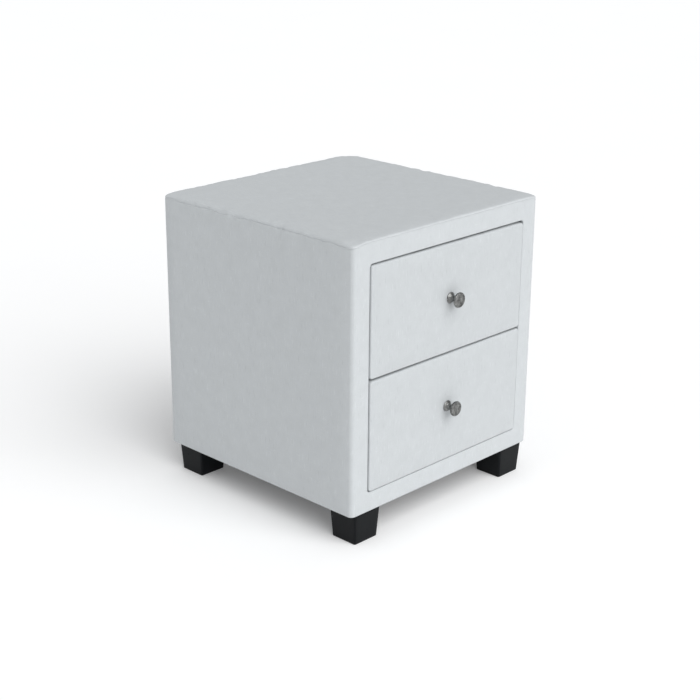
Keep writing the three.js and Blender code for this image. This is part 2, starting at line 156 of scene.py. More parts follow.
white = Finish("white_floor", roughness=0.8, Emission_Strength=0.075,
               Emission_Color=(1, 1, 1))
grain = white.grain(3, detail=3)
white.colour(grain, (0.95, 0.95, 0.95), (0.97, 0.97, 0.97))

floor_half = 30
floor_mesh = bpy.data.meshes.new("floor")
floor_mesh.from_pydata([(x * floor_half, y * floor_half, 0)
                        for x, y in ((-1, -1), (1, -1), (1, 1), (-1, 1))], [], [(0, 1, 2, 3)])
floor_mesh.materials.append(white.material)
floor = bpy.data.objects.new("floor", floor_mesh)
bpy.context.scene.collection.objects.link(floor)

# The lamp is so wide that its shadows are soft, and it lights the whole floor evenly.
lamp = bpy.data.lights.new("window_light", "SUN")
lamp.energy, lamp.angle = 2.35, math.radians(62)
window_light = bpy.data.objects.new("window_light", lamp)
light_runs = Vector((0.10, 0.546, -0.50))
window_light.rotation_euler = light_runs.to_track_quat("-Z", "Y").to_euler()
bpy.context.scene.collection.objects.link(window_light)

sky = bpy.data.worlds.new("sky")
sky.use_nodes = True
sky.node_tree.nodes["Background"].inputs["Color"].default_value = (0.97, 0.985, 1, 1)
sky.node_tree.nodes["Background"].inputs["Strength"].default_value = 0.50
bpy.context.scene.world = sky
bpy.context.scene.view_settings.view_transform = "Standard"

lens = bpy.data.cameras.new("camera")
lens.lens, lens.sensor_width = 76.33, 36
camera = bpy.data.objects.new("camera", lens)
down, heading, roll = (math.radians(angle) for angle in (70.16, -46.02, 0.44))
aim = Euler((down, 0, heading)).to_matrix() @ Matrix.Rotation(roll, 3, "Z")
camera.matrix_world = Matrix.Translation((-1.567, -1.5025, 0.987)) @ aim.to_4x4()
bpy.context.scene.collection.objects.link(camera)
bpy.context.scene.camera = camera


# ---- Case and front frame ----
# Raw fibreboard panels, glued and stapled. They show only past the open drawers and through the
# gaps round the drawer fronts.

fibreboard = Finish("raw_fibreboard", roughness=0.85)
fibres = fibreboard.grain(900, detail=4, roughness=0.7)
cloud = fibreboard.grain(14, detail=3)
share = fibreboard.step(fibres * 0.7 + cloud * 0.3, 0.3, 0.7)
fibreboard.colour(share, (0.26, 0.17, 0.095), (0.45, 0.32, 0.20))
fibreboard.set("Roughness", 0.75 + fibres * 0.2)
fibreboard.bump(fibres, 0.00012)

drawers, sides = ("upper", "lower"), (("left", -1), ("right", 1))
paint(fibreboard, "top_panel", "left_side_panel", "right_side_panel", "base_panel", "back_panel",
      "left_stile", "right_stile", "top_rail", "bottom_rail")
for drawer in drawers:
    paint(fibreboard, f"{drawer}_left_batten", f"{drawer}_right_batten", f"{drawer}_front_board")


# ---- Foam on the case ----
# Thin sheets of open-cell foam, glued to the top and the sides. Their edges are feathered, so
# that the fabric comes down smoothly onto the corners.

def quads_of(index, around=False):
    """The four-sided faces of a net of point numbers. `around` joins its last column to its first."""
    if around:
        index = np.concatenate([index, index[:, :1]], axis=1)
    return np.stack([index[:-1, :-1], index[:-1, 1:], index[1:, 1:], index[1:, :-1]], axis=-1)


def net(name, points, uv=None, around=False, rolled=False, caps=(), away_from=None):
    """
    A smooth mesh from a net of points, shaped rows, columns, 3. `around` joins the last column
    to the first, and `rolled` joins the last row to the first. `caps` lists the end rows, 0 or
    -1, that a fan about their middle closes. The faces look away from a point, by default the
    middle of all the points. `uv` gives each point's place on the flat cloth, in metres.
    """
    rows, columns = points.shape[:2]
    index = np.arange(rows * columns).reshape(rows, columns)
    if around:
        index = np.concatenate([index, index[:, :1]], axis=1)
    if rolled:
        index = np.concatenate([index, index[:1]], axis=0)
    places = [points.reshape(-1, 3)]
    faces = quads_of(index).reshape(-1, 4)
    corners = places[0][faces]
    normals = np.cross(corners[:, 2] - corners[:, 0], corners[:, 3] - corners[:, 1])
    origin = places[0].mean(axis=0) if away_from is None else np.array(away_from)
    turned_in = (normals * (corners.mean(axis=1) - origin)).sum() < 0
    faces = faces.tolist()
    for row in caps:
        middle = np.full(index.shape[1] - 1, rows * columns + len(places) - 1)
        order = 1 if row == 0 else -1
        faces += np.stack([*[index[row, 1:], index[row, :-1]][::order], middle], -1).tolist()
        places.append(points[row].mean(axis=0, keepdims=True))
        if uv is not None:
            uv = np.concatenate([uv.reshape(-1, 2), uv[row].mean(axis=0, keepdims=True)])
    if turned_in:
        faces = [face[::-1] for face in faces]
    return meshed(name, np.concatenate(places), faces, uv)


def meshed(name, places, faces, uv=None):
    """A smooth mesh object from vertices and faces, with its cloth map where one is given."""
    mesh = bpy.data.meshes.new(name)
    mesh.from_pydata(places.tolist(), [], faces)
    mesh.polygons.foreach_set("use_smooth", np.ones(len(faces), bool))
    if uv is not None:
        corners = np.zeros(len(mesh.loops), np.int32)
        mesh.loops.foreach_get("vertex_index", corners)
        flat = mesh.uv_layers.new(name="cloth")
        flat.data.foreach_set("uv", uv.reshape(-1, 2)[corners].ravel())
    piece = bpy.data.objects.new(name, mesh)
    bpy.context.scene.collection.objects.link(piece)
    return piece


def finished(piece, finish, body, slot, *replaced):
    """Gives a piece its finish and its body, and hides the CAD nodes that it stands for. The slot is
    not used.
    """
    piece.data.materials.append(finish.material)
    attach(piece, body)
    if replaced:
        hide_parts(*replaced)
    return piece


def corners_of(name):
    """A CAD node's lowest and highest corners, as arrays."""
    return (np.array(corner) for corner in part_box(name))


def eased(share):
    """The smooth step 3 t squared minus 2 t cubed, between 0 and 1."""
    t = np.clip(share, 0, 1)
    return t * t * (3 - 2 * t)


def loop(half, radius, step):
    """
    A closed path round a rectangle with round corners, anticlockwise. Each place has a point of
    the core rectangle, which is smaller by the radius, and an outward direction.
    """
    a, b = half[0] - radius, half[1] - radius
    stops = np.array([(a, b), (-a, b), (-a, -b), (a, -b), (a, b)])
    core, angle = [], []
    for number in range(4):
        turn = np.linspace(0, np.pi / 2, 8) + number * np.pi / 2
        core.append(np.repeat(stops[number][None], len(turn), axis=0))
        angle.append(turn)
        gap = stops[number + 1] - stops[number]
        share = np.linspace(0, 1, max(3, round(np.abs(gap).sum() / step)))[1:-1, None]
        core.append(stops[number] + gap * share)
        angle.append(np.full(len(share), turn[-1]))
    angle = np.concatenate(angle)
    return np.concatenate(core), np.stack([np.cos(angle), np.sin(angle)], axis=-1)


def drawn_in(core, outward, radius, inset):
    """
    A path's points, drawn in from the outside by an inset. Up to the corner radius they move
    along their outward direction. Past it the core rectangle shrinks by the rest. A corner keeps a
    radius of 0.3 mm there, so that no face closes up.
    """
    inset = np.asarray(inset)[..., None]
    shrink = 1 - np.maximum(inset - radius, 0) / np.abs(core).max(axis=0)
    return core * shrink + outward * np.maximum(radius - inset, 0.0003)


def spokes(ring, centre, hole, shares):
    """Rows from a small circle about a centre out to a ring: circle plus share of the rest."""
    away = ring - centre
    circle = centre + hole * away / np.linalg.norm(away, axis=-1, keepdims=True)
    return circle + (ring - circle) * np.asarray(shares)[:, None, None]


body_low, body_high = corners_of("body_cover")
body_middle = ((body_low + body_high) / 2)[:2]
body_half = ((body_high - body_low) / 2)[:2]


def corner_fall(x, y):
    """
    How far the padding gives way at the top's corners. The front left and the back right fall by
    3 mm, eased to nothing in 28 mm, and the other two by half as much in 20 mm.
    """
    distance = np.hypot(body_half[0] - np.abs(x), body_half[1] - np.abs(y))
    more = np.asarray(x) * y > 0
    return np.where(more, 0.003, 0.0015) * eased(1 - distance / np.where(more, 0.028, 0.020))


def foam_sheet(name, body, thin, outer, radius, feather, hole=None, fall=None):
    """
    A sheet of foam in the box of its CAD solid, thin along one axis. The inner face is flat. The
    outer face falls to the rim as a quarter of an ellipse, over the width of the feather. A hole
    is a centre and a radius. `fall` is how far the outer face gives way at a place. Nine tenths
    of the padding is foam.
    """
    low, high = corners_of(name)
    flat = [axis for axis in range(3) if axis != thin]
    middle, half = (low + high)[flat] / 2, (high - low)[flat] / 2
    core, outward = loop(half, radius, 0.008)
    turn = np.linspace(0, np.pi / 2, 9)
    inset = feather * (1 - np.sin(turn))
    rim = drawn_in(core, outward, radius, inset[:, None]) + middle
    centre, bore = (middle, 0.002) if hole is None else hole
    face = np.concatenate([spokes(rim[0], np.array(centre), bore, np.linspace(0, 1, 12)[:-1]), rim])
    rise = np.concatenate([np.ones(11), 0.06 + 0.94 * np.cos(turn)])
    depth = np.concatenate([rise, 0 * rise])[:, None]
    near, far = (low[thin], high[thin]) if outer > 0 else (high[thin], low[thin])
    points = np.zeros((len(depth), len(core), 3))
    points[..., flat] = np.concatenate([face, face[::-1]])
    points[..., thin] = near + (far - near) * depth
    if fall is not None:
        x, y = np.moveaxis(points[..., flat] - body_middle, -1, 0)
        points[..., thin] -= outer * fall(x, y) * depth
    sheet = net(name + "_sheet", points, around=True, rolled=hole is not None,
                caps=(0, -1) if hole is None else ())
    finished(sheet, open_cell, body, "foam", name)


open_cell = Finish("open_cell_foam", roughness=0.95)
cells = open_cell.node("TexVoronoi", {"feature": "F1"},
                       {"Vector": open_cell.place(900), "Scale": 1.0})
cloud = open_cell.grain(30, detail=3)
open_cell.colour(cloud, (0.74, 0.70, 0.52), (0.82, 0.79, 0.63))
open_cell.set("Roughness", 0.85 + cloud * 0.15)
open_cell.bump(cells, 0.0003)

foam_sheet("top_foam", "cabinet", thin=2, outer=1, radius=0.0065, feather=0.0045,
           fall=corner_fall)
for side, sign in sides:
    foam_sheet(f"{side}_foam", "cabinet", thin=0, outer=sign, radius=0.002, feather=0.006)


# ---- Body cover ----
# One band of linen-look fabric over the left side, the front frame and the right side. It is
# pulled tight, turned into the opening, onto the back and under the base, and stapled.

def woven_finish(name, frame_painted_light=0.0):
    """
    The weave: threads crossing every 0.9 mm, with slubs and a faint cloud. Its second argument is
    painted light: how much paler the fabric is painted where it lies flat on the front frame, as if
    the frame were lit more brightly than the drawer fronts.
    """
    finish = Finish(name, roughness=0.9, Sheen_Weight=0.10, Sheen_Roughness=0.5)
    flat = finish.node("UVMap", {"uv_map": "cloth"})
    thread = 0.0009
    wander = finish.noise(finish.scaled(flat, 60, 60, 0), detail=3)
    across = finish.node("SeparateXYZ", None, {0: flat})
    up = finish.node("SeparateXYZ", None, {0: flat}, out=1)
    turn = 2 * math.pi / thread
    warp = finish.math("SINE", across * turn + wander * 9)
    weft = finish.math("SINE", up * turn + wander * 9)
    crossings = 0.5 + warp * weft * 0.5
    fuzz = finish.noise(finish.scaled(flat, 1500, 1500, 0), detail=3)
    upright = finish.noise(finish.scaled(flat, 560, 60, 0), detail=2)
    level = finish.noise(finish.scaled(flat, 75, 620, 0), detail=2)
    pale_slub = finish.step(upright, 0.60, 0.72) + finish.step(level, 0.64, 0.76)
    dark_slub = finish.step(1 - upright, 0.62, 0.74) + finish.step(1 - level, 0.68, 0.80)
    cloud = finish.noise(finish.scaled(flat, 48, 48, 0), detail=4, roughness=0.6)
    depth = finish.node("SeparateXYZ", None, {0: finish.place(1)}, out=1)
    # Painted light: the fabric on the front frame is painted paler, as if lit more brightly than the
    # drawer fronts.
    frame_light_share = finish.step(depth * -1, -body_low[1] - 0.0030, -body_low[1] - 0.0004)
    share = (0.5 + frame_light_share * frame_painted_light + (cloud - 0.5) * 0.34 + (fuzz - 0.5) * 0.40
             + (crossings - 0.5) * 0.20 + pale_slub * 0.26 - dark_slub * 0.30)
    finish.colour(share, (0.418, 0.438, 0.448), (0.606, 0.631, 0.646))
    finish.set("Roughness", 0.82 + fuzz * 0.16)
    finish.bump(crossings * 0.35 + fuzz * 0.25 + pale_slub * 0.4, 0.00028)
    return finish


def drift(along, pitch, seed):
    """A smooth random curve, from -1 to 1: even draws every `pitch`, joined by smooth steps."""
    draws = np.random.default_rng(seed).uniform(-1, 1, 4096)
    at = np.asarray(along) / pitch + 1024
    low = np.floor(at).astype(int)
    return draws[low] + (draws[low + 1] - draws[low]) * eased(at - low)


def swell(first, second, pitch, seed):
    """Smooth random hills, from -1 to 1: draws on a square net, joined by smooth steps."""
    draws = np.random.default_rng(seed).uniform(-1, 1, (256, 256))
    a, b = np.asarray(first) / pitch + 128, np.asarray(second) / pitch + 128
    i, j = np.floor(a).astype(int), np.floor(b).astype(int)
    s, t = eased(a - i), eased(b - j)
    near = draws[i, j] * (1 - s) + draws[i + 1, j] * s
    far = draws[i, j + 1] * (1 - s) + draws[i + 1, j + 1] * s
    return near * (1 - t) + far * t


def stretched(piece, thickness, finish, body, slot, node, **facts):
    solid = piece.modifiers.new("thickness", "SOLIDIFY")
    solid.thickness, solid.offset = thickness, -1
    finished(piece, finish, body, slot, node)


def blown(wide, high, seed, held=None):
    """
    How far a cover stands off its flat, by cloth simulation. A flat net of cloth is held round
    its rim, and in a circle where one is given as x, y and radius. Air from behind blows it up,
    without gravity.
    """
    pitch, frames = 0.005, 20
    columns, rows = round(wide / pitch) + 1, round(high / pitch) + 1
    x, y = np.meshgrid(np.linspace(-wide / 2, wide / 2, columns),
                       np.linspace(-high / 2, high / 2, rows), indexing="ij")
    from_rim = np.minimum(wide / 2 - np.abs(x), high / 2 - np.abs(y))
    still = from_rim < 0.001
    if held is not None:
        from_knob = np.hypot(x - held[0], y - held[1]) - held[2]
        from_rim = np.minimum(from_rim, np.maximum(from_knob, 0))
        still |= from_knob < 0
    uneven = 0.0006 * swell(x, y, 0.022, seed)  # the net starts a little out of true
    places = np.stack([x, y, uneven * ~still], axis=-1)
    sheet = net("blown_sheet", places, away_from=(0, 0, -1))
    sheet.vertex_groups.new(name="held").add(np.where(still.ravel())[0].tolist(), 1, "REPLACE")
    cloth = sheet.modifiers.new("cloth", "CLOTH")
    cloth.settings.vertex_group_mass = "held"
    cloth.settings.use_pressure, cloth.settings.uniform_pressure_force = True, 4
    cloth.settings.effector_weights.gravity = 0
    cloth.settings.shrink_min = -0.002
    cloth.collision_settings.use_collision = False
    cloth.point_cache.frame_start, cloth.point_cache.frame_end = 1, frames
    for number in range(1, frames + 1):
        bpy.context.scene.frame_set(number)
    posed = sheet.evaluated_get(bpy.context.evaluated_depsgraph_get())
    moved = np.zeros(places.size, np.float32)
    posed.data.vertices.foreach_get("co", moved)
    bpy.data.objects.remove(sheet)
    bpy.context.scene.frame_set(1)
    return moved.reshape(places.shape)[..., 2].astype(float)


def rise_of(wide, high, cap, seed, held=None):
    """
    The blown cover as a function of two shares, from 0 to 1, across and up. The foam is thin, so
    no point may move further than the cap: heights bend towards it as a hyperbolic tangent does.
    Between the net's places a cubic B-spline is taken.
    """
    heights = blown(wide, high, seed, held)
    heights = np.pad(cap * np.tanh(heights / cap), 1, mode="reflect", reflect_type="odd")

    def rise(across, up):
        across, up = np.broadcast_arrays(across, up)
        total = 0
        at = [np.clip(share, 0, 1) * (size - 3) for share, size in zip((across, up), heights.shape)]
        low = [np.clip(np.floor(place).astype(int), 0, size - 4)
               for place, size in zip(at, heights.shape)]
        weights = []
        for place, first in zip(at, low):
            t = place - first
            weights.append([(1 - t) ** 3 / 6, (3 * t ** 3 - 6 * t ** 2 + 4) / 6,
                            (-3 * t ** 3 + 3 * t ** 2 + 3 * t + 1) / 6, t ** 3 / 6])
        for i in range(4):
            for j in range(4):
                total = total + weights[0][i] * weights[1][j] * heights[low[0] + i, low[1] + j]
        return total

    return rise


top_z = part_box("top_cover")[1].z
corner = 0.008  # the radius of the upright corners
core_half = body_half - corner
seam_drop = 0.0050  # the seam lies this far under the top, and 2 mm less on the front
back_edge = 0.175  # half the distance between the band's two edges, on the back
quarter = corner * np.pi / 2


def band_path(step):
    """
    The band's path in plan, from its left edge at the back, round by the front, to its right
    edge: points of the core rectangle, outward directions and distances along the cloth. A
    straight keeps one direction, and a corner keeps one core point.
    """
    cx, cy = core_half
    stops = np.array([(-back_edge, cy), (-cx, cy), (-cx, -cy), (cx, -cy), (cx, cy),
                      (back_edge, cy)])
    core, angle, along, so_far, turns = [stops[:1]], [[np.pi / 2]], [[0.0]], 0.0, 10
    for number in range(5):
        gap = stops[number + 1] - stops[number]
        long = np.abs(gap).sum()
        share = np.linspace(0, 1, max(3, round(long / step) + 1))[1:]
        core.append(stops[number] + gap * share[:, None])
        angle.append(np.full(len(share), (number + 1) * np.pi / 2))
        along.append(so_far + long * share)
        so_far += long
        if number < 4:
            share = np.linspace(0, 1, turns + 1)[1:]
            core.append(np.repeat(stops[number + 1][None], turns, axis=0))
            angle.append((number + 1 + share) * np.pi / 2)
            along.append(so_far + quarter * share)
            so_far += quarter
    angle = np.concatenate(angle)
    return (np.concatenate(core), np.stack([np.cos(angle), np.sin(angle)], axis=-1),
            np.concatenate(along))


def at_front(place):
    """1 on the front frame and 0 behind its corners, at a place in plan."""
    return eased((corner - body_half[1] - place[..., 1]) / corner)


def seam_height(outline):
    """
    The height of the seam round the top, at a place of the outline in plan. It wanders up and
    down by about a millimetre, and it falls at the corners. Both covers meet at this height.
    """
    x, y = outline[..., 0], outline[..., 1]
    long_wave, short_wave = 0.0013 * swell(x, y, 0.030, 5), 0.0008 * swell(x, y, 0.010, 6)
    wander = long_wave + short_wave
    front = at_front(outline)
    return top_z - seam_drop + 0.0020 * front + wander * (1 - 0.7 * front) - corner_fall(x, y)


def pucker(place, away):
    """
    Small gathers along the seam, at a place in plan. They die away in about a centimetre. Both
    covers share them, so they agree at the seam.
    """
    x, y = place[..., 0], place[..., 1]
    strength = 0.25 + 0.75 * eased(0.5 + swell(x, y, 0.05, 22))
    ridges = swell(x, y, 0.0075, 21) + 0.7 * swell(x, y, 0.015, 23)
    strength = strength * (1 - 0.7 * at_front(place))
    height, fade = 0.0018, 0.008
    return height * strength * ridges * np.exp(-away / fade)


# The fabric turns into the opening round the lip's radius. Past it, the gaps round the drawer
# fronts are 1.7 mm at the sides, 1.4 mm below and 2.8 mm above.
lip_roll = 0.0013
hole_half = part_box("upper_front_cover")[1].x + 0.0017 + lip_roll
hole_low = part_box("lower_front_cover")[0].z - 0.0014 - lip_roll
hole_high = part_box("upper_front_cover")[1].z + 0.0028 + lip_roll

side_rise = rise_of(2 * core_half[1], top_z - body_low[2], 0.0016, 32)


def band_net():
    """
    The cover on a net: distance along the band by height. The rows run from the edge turned
    under the base, round the lower edge, up to the seam and on behind it, as the seam's turning. A
    point is the plan path at an inset, at a height. Foam swells the sides, and the front frame
    stays flat.
    """
    core, outward, along = band_path(0.003)
    on_front = np.isclose(outward[:, 1], -1)
    for edge in (-hole_half, hole_half):
        nearest = np.where(on_front)[0][np.abs(core[on_front, 0] - edge).argmin()]
        along[nearest] += edge - core[nearest, 0]
        core[nearest, 0] = edge

    roll, under, bottom = 0.0013, 0.024, body_low[2]
    lift_from, lean = 0.03, 0.6  # where the seam's wander starts, and the slant of the gathers
    tuck_deep, tuck_high, wave_high = 0.0006, 0.0004, 0.0001
    turn = np.linspace(0, np.pi / 2, 5)[1:]
    face = np.concatenate([np.linspace(bottom + roll, hole_low, 5)[1:],
                           np.linspace(hole_low, hole_high, 84)[1:],
                           np.linspace(hole_high, top_z - 0.020, 8)[1:],
                           np.linspace(top_z - 0.020, top_z - seam_drop - 0.0012, 14)[1:],
                           top_z - seam_drop - np.array([0.0007, 0.0003, 0])])
    inset = np.concatenate([np.linspace(under, roll, 6), roll * (1 - np.sin(turn)), 0 * face])
    height = np.concatenate([np.full(6, bottom), bottom + roll * (1 - np.cos(turn)), face])
    flat_up = np.concatenate([[0], np.cumsum(np.hypot(np.diff(inset), np.diff(height)))])

    z = height[:, None] + 0 * along
    lift = eased((z - (top_z - lift_from)) / (lift_from - seam_drop))
    outline = core + outward * corner
    z = z + lift * (seam_height(outline) - (top_z - seam_drop))
    away = np.maximum(seam_height(outline) - z, 0)
    pull = eased(0.5 + swell(outline[:, 0], outline[:, 1], 0.016, 24))
    tuck = tuck_deep * pull * (1 - 0.6 * at_front(outline)) * np.exp(-away / tuck_high)
    side = np.abs(outward[:, 0])
    up_share = (z - bottom) / (top_z - bottom)
    deep_share = 0.5 + core[:, 1] / (2 * core_half[1])
    wave = swell(along + 0 * z, z, 0.055, 31)
    on_face = inset[:, None] < 1e-6
    bulge = side * side_rise(deep_share, up_share) + on_face * wave_high * wave
    tangent = np.stack([-outward[:, 1], outward[:, 0]], axis=-1)
    slanted = outline + lean * away[..., None] * tangent
    inset = inset[:, None] + tuck - bulge - on_face * pucker(slanted, away)

    # The seam's turning: two more rows, inwards and up behind the top cover's edge.
    inset = np.concatenate([inset, inset[-1:] + 0.0007, inset[-1:] + 0.0011])
    z = np.concatenate([z, z[-1:] + 0.0002, z[-1:] + 0.0013])
    flat_up = np.concatenate([flat_up, flat_up[-1] + [0.0007, 0.0018]])
    points = np.dstack([drawn_in(core, outward, corner, inset) + body_middle, z])
    uv = np.stack(np.broadcast_arrays(along, flat_up[:, None]), axis=-1)
    return points, uv, on_front, height


def with_opening(name, points, uv, on_front, height):
    """
    The band's mesh, with the net's faces inside the opening left out. The points round the hole
    move onto an outline with round corners, and a lip is added there: a quarter roll, then a
    strip that lies inside the opening.
    """
    rows, columns = points.shape[:2]
    x = points[rows // 2, :, 0]
    left, right = (np.where(on_front & (np.abs(x - edge) < 1e-5))[0][0]
                   for edge in (-hole_half, hole_half))
    low, high = (np.abs(height - edge).argmin() for edge in (hole_low, hole_high))
    index = np.arange(rows * columns).reshape(rows, columns)
    quads = quads_of(index)
    keep = np.ones(quads.shape[:2], bool)
    keep[low:high, left:right] = False

    rim = np.concatenate([index[low, left:right], index[low:high, right],
                          index[high, right:left:-1], index[high:low:-1, left]])
    flat = points.reshape(-1, 3).copy()
    flat_uv = uv.reshape(-1, 2)
    round_off, lip_deep = 0.006, 0.0155  # the hole's corners, and how far in the lip goes
    at = flat[rim][:, [0, 2]]
    centre = np.array([0, (hole_low + hole_high) / 2])
    reach = np.array([hole_half, (hole_high - hole_low) / 2]) - round_off
    inner = np.clip(at - centre, -reach, reach) + centre
    away = at - inner
    in_corner = np.abs(away).min(axis=1) > 1e-9
    across, up = np.abs(away).T
    share = np.where(across >= round_off - 1e-6, up, 2 * round_off - across) / (2 * round_off)
    bearing = np.stack([np.cos(share * np.pi / 2), np.sin(share * np.pi / 2)], axis=-1)
    straight = np.abs(away) / np.linalg.norm(away, axis=1, keepdims=True)
    outward = np.sign(away) * np.where(in_corner[:, None], bearing, straight)
    flat[rim[:, None], [0, 2]] = inner + outward * round_off

    turn = np.linspace(0, np.pi / 2, 6)[1:]
    inward = np.concatenate([lip_roll * np.sin(turn), np.full(5, lip_roll)])[:, None]
    deep = np.concatenate([lip_roll * (1 - np.cos(turn)), np.linspace(lip_roll, lip_deep, 6)[1:]])
    run = (np.cumsum(np.hypot(np.diff(inward[:, 0], prepend=0), np.diff(deep, prepend=0))))
    edge = flat[rim]
    lip = np.stack([edge[:, 0] - outward[:, 0] * inward,
                    edge[:, 1] + (body_low[1] - edge[:, 1]) * eased(deep[:, None] / 0.004)
                    + deep[:, None],
                    edge[:, 2] - outward[:, 1] * inward], axis=-1)
    lip_uv = flat_uv[rim] - outward * run[:, None, None]
    ring = np.concatenate([rim[None], np.arange(lip[..., 0].size).reshape(-1, len(rim)) + len(flat)])
    faces = np.concatenate([quads[keep], quads_of(ring, around=True).reshape(-1, 4)])
    used, faces = np.unique(faces, return_inverse=True)
    places = np.concatenate([flat, lip.reshape(-1, 3)])[used]
    return meshed(name, places, faces.reshape(-1, 4).tolist(),
                  np.concatenate([flat_uv, lip_uv.reshape(-1, 2)])[used])


# The band is painted paler on the front frame: painted light, as if the frame were lit more brightly
# than the drawer fronts.
weave = woven_finish("linen_look_weave", frame_painted_light=0.13)
fabric_thick = 0.0008
stretched(with_opening("body_cover_cloth", *band_net()), fabric_thick, weave, "cabinet", "fabric",
          "body_cover", flat=(1.232, 0.42), area=0.41,
          rests_on=["left_foam_sheet", "right_foam_sheet", "left_stile", "right_stile"])


# ---- Top cover ----
# A panel of the same fabric over the top foam, sewn to the body cover all round the edge. At the
# back it is turned down onto the back panel, under the black cloth.

top_rise = rise_of(2 * body_half[0], 2 * body_half[1], 0.0014, 52)


def top_cover():
    """
    Rows of a rounded rectangle. They run from the middle out to the edge, round it by a quarter
    turn down to the seam, and in under the seam. Between the band's edges at the back, the last
    rows hang down behind the back panel instead.
    """
    core, outward = loop(body_half, corner, 0.003)
    outline = core + outward * corner
    roll = 0.0044 - 0.0016 * eased(-outward[:, 1])  # crisper over the front frame
    turn = np.linspace(0, np.pi / 2, 8)[:, None]
    margin = 0.020  # from the middle's spokes to the edge
    plateau = drawn_in(core, outward, corner, np.array([[margin]]))[0]
    inner = spokes(plateau, np.zeros(2), 0.001, np.linspace(0, 1, 42)[:-1])
    under = np.array([[0.0003], [0.0010], [0.0035]]) + 0 * roll  # the seam's turning
    inset = np.concatenate([margin + (roll - margin) * np.linspace(0, 1, 12)[:-1, None],
                            roll * (1 - np.sin(turn)), under])
    below = np.array([[-0.0001], [0.0001], [0.0002]]) + seam_drop + 0 * roll
    drop = np.concatenate([np.zeros((11, len(roll))), roll * (1 - np.cos(turn)), below])
    down = eased(drop / seam_drop)
    away = inset + np.maximum(seam_drop - drop, 0)
    ruck = pucker(drawn_in(core, outward, corner, inset), away)
    inset = inset - ruck * eased(drop / roll) * (inset < margin)
    drop = drop - (seam_height(outline) - (top_z - seam_drop)) * down
    rim = drawn_in(core, outward, corner, inset)
    points = np.concatenate([np.dstack([inner, 0 * inner[..., 0]]), np.dstack([rim, -drop])])
    x, y = points[..., 0], points[..., 1]
    edge = np.minimum(body_half[0] - np.abs(x), body_half[1] - np.abs(y))
    rise = top_rise(0.5 + x / (2 * body_half[0]), 0.5 + y / (2 * body_half[1]))
    wave_high = 0.0002
    wave = wave_high * swell(x, y, 0.06, 51) * eased(edge / margin)
    points[..., 2] += top_z + rise + wave
    level = np.concatenate([0 * inner[..., 0] + 1, 1 - down])
    points[..., 2] -= corner_fall(x, y) * level
    points[len(inner):, :, 2] += ruck * (1 - eased(drop / roll))

    behind = eased((back_edge - 0.001 - np.abs(rim[-1, :, 0])) / 0.004) * (rim[-1, :, 1] > 0.18)
    for row, lower in ((-3, 0.004), (-2, 0.014), (-1, 0.026)):
        points[row, :, 1] += behind * (body_half[1] - 0.0002 - points[row, :, 1])
        points[row, :, 2] += behind * (top_z - lower - points[row, :, 2])
    points[..., :2] += body_middle
    uv = np.concatenate([inner, rim]) + np.array([2.0, 0.3])
    return net("top_cover_cloth", points, uv=uv, around=True, caps=(0,))


stretched(top_cover(), fabric_thick, weave, "cabinet", "fabric", "top_cover",
          flat=(0.42, 0.44), rests_on=["top_foam_sheet"])


# ---- Black cloths and staples ----
# Spun-bonded cloth covers the raw edges of the fabric behind and underneath. Both cloths are
# held by rows of wire staples.

def many(name, shape, faces, places, axes):
    """
    One mesh of many like small parts. Each part's points are its place plus the shape's three
    coordinates along its three axes.
    """
    points = np.einsum("pk,nkj->npj", shape, axes) + np.asarray(places)[:, None]
    step = len(shape) * np.arange(len(places))[:, None, None]
    faces = (np.array(faces)[None] + step).reshape(-1, np.shape(faces)[1])
    return meshed(name, points.reshape(-1, 3), faces.tolist())


def staples(name, body, rows, spacing, out, seed):
    """
    Wire staples in rows, each given by its two ends. A six-sided section is carried along the
    crown, and both ends are pushed down into the board. `out` is the direction of the face. The
    crowns lie along the rows, each turned by a small random angle.
    """
    start, end = np.array(rows, float)[0]
    long = np.linalg.norm(end - start)
    share = np.linspace(0, 1, max(2, round(long / spacing) + 1))[:, None]
    places = np.concatenate([first + (last - first) * share
                             for first, last in np.array(rows, float)])
    half_long, half_wide, high = 0.005, 0.0006, 0.0005
    section = np.array([(-1, -0.3), (-1, 0.4), (-0.5, 1), (0.5, 1), (1, 0.4), (1, -0.3)])
    stations = np.array([(-1.0, -1.6), (-0.93, 0), (0.93, 0), (1.0, -1.6)])
    shape = np.zeros((4, 6, 3))
    shape[..., 0] = stations[:, :1] * half_long
    shape[..., 1] = section[None, :, 0] * half_wide
    shape[..., 2] = (section[None, :, 1] + stations[:, 1:]) * high
    ends = [[0, 1, 2, 3], [0, 3, 4, 5], [21, 20, 19, 18], [23, 22, 21, 18]]
    around = quads_of(np.arange(24).reshape(4, 6), around=True)[..., [0, 3, 2, 1]]
    faces = around.reshape(-1, 4).tolist() + ends
    along, out = (end - start) / long, np.array(out, float)
    across = np.cross(out, along)
    askew = 0.12  # radians, the spread of the crowns' angles
    turn = np.random.default_rng(seed).normal(0, askew, len(places))[:, None]
    first = along * np.cos(turn) + across * np.sin(turn)
    second = across * np.cos(turn) - along * np.sin(turn)
    axes = np.stack([first, second, np.broadcast_to(out, first.shape)], axis=1)
    finished(many(name, shape.reshape(-1, 3), faces, places, axes), zinc, body, "screw")


spun_bonded = Finish("spun_bonded_cloth", roughness=0.9)
dots = spun_bonded.node("TexVoronoi", {"feature": "F1"},
                        {"Vector": spun_bonded.place(1100), "Scale": 1.0})
fibres = spun_bonded.grain(2600, detail=3)
share = spun_bonded.step(dots * 0.6 + fibres * 0.4, 0.25, 0.65)
spun_bonded.colour(share, (0.010, 0.010, 0.011), (0.035, 0.035, 0.037))
spun_bonded.set("Roughness", 0.75 + fibres * 0.2)
spun_bonded.bump(dots * 0.7 + fibres * 0.3, 0.0002)

zinc = Finish("zinc_plate", roughness=0.35, metallic=1.0)
spangle = zinc.grain(1500, detail=3)
zinc.colour(spangle, (0.42, 0.43, 0.45), (0.66, 0.67, 0.68))
zinc.set("Roughness", 0.25 + spangle * 0.25)

